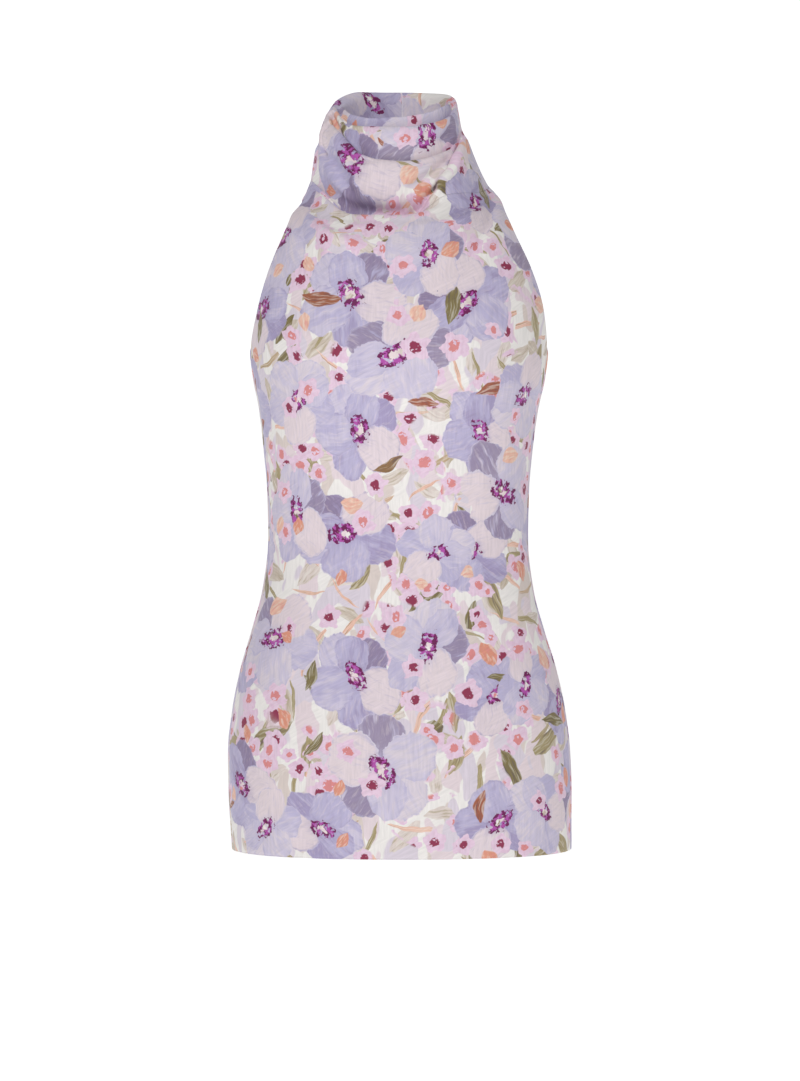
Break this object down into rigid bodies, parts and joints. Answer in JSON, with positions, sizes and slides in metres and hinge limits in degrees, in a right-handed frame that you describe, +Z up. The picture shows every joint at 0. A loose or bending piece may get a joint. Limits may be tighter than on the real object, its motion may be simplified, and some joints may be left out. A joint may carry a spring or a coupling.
{
  "type": "sleeveless top",
  "caption": "Sleeveless halter top with a draped cowl collar, filled out as worn, with open neck, armholes and hem",
  "frame": {"origin": "the middle of the wearer's neck, level with the seam that joins the collar to the body, where the top is held up", "axes": "+Z up, -Y to the front, +X to the right of a viewer who faces the front"},
  "size_m": [0.3207, 0.2445, 0.7123],
  "materials": {
    "front_cloth": "printed crepe",
    "back_cloth": "printed crepe",
    "collar_cloth": "printed crepe"
  },
  "bodies": {
    "root": {"front": "front_cloth", "back_left": "back_cloth", "back_right": "back_cloth", "collar": "collar_cloth"}
  },
  "joints": []
}
